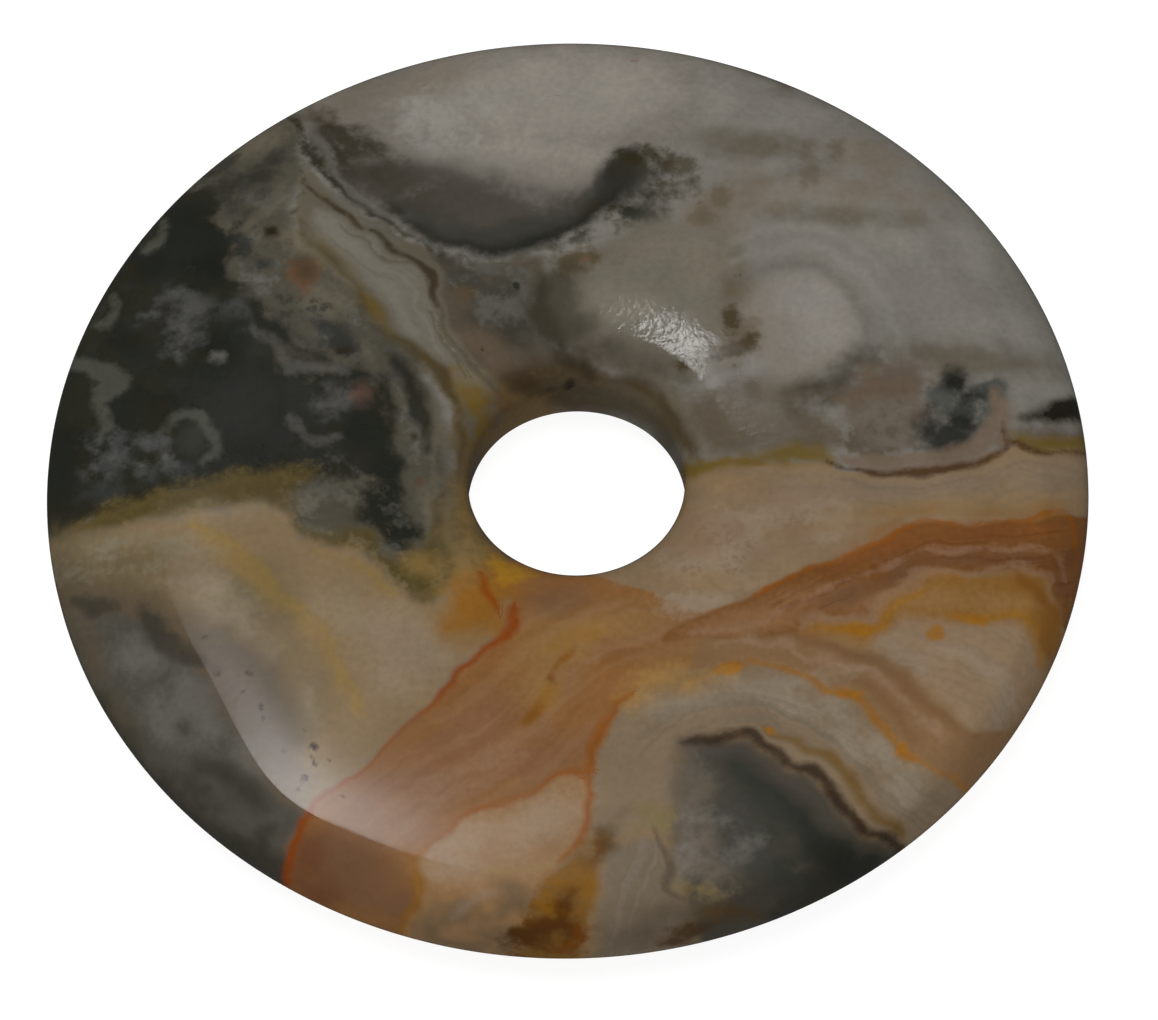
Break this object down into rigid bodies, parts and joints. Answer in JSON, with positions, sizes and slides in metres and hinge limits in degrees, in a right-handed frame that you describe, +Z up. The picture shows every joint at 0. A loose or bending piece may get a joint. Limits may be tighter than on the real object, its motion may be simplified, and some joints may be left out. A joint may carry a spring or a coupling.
{
  "type": "crazy lace agate donut",
  "caption": "Flat polished ring of banded crazy lace agate with a rounded rim and a round hole, lying on its face.",
  "frame": {"origin": "middle of the underside, on the surface the ring lies on", "axes": "+Z up through the hole, square to the flat faces; -Y towards the viewer; +X to the viewer's right"},
  "size_m": [0.04, 0.04, 0.0045],
  "materials": {
    "agate": "polished"
  },
  "bodies": {
    "root": {"agate_ring": "agate"}
  },
  "joints": []
}
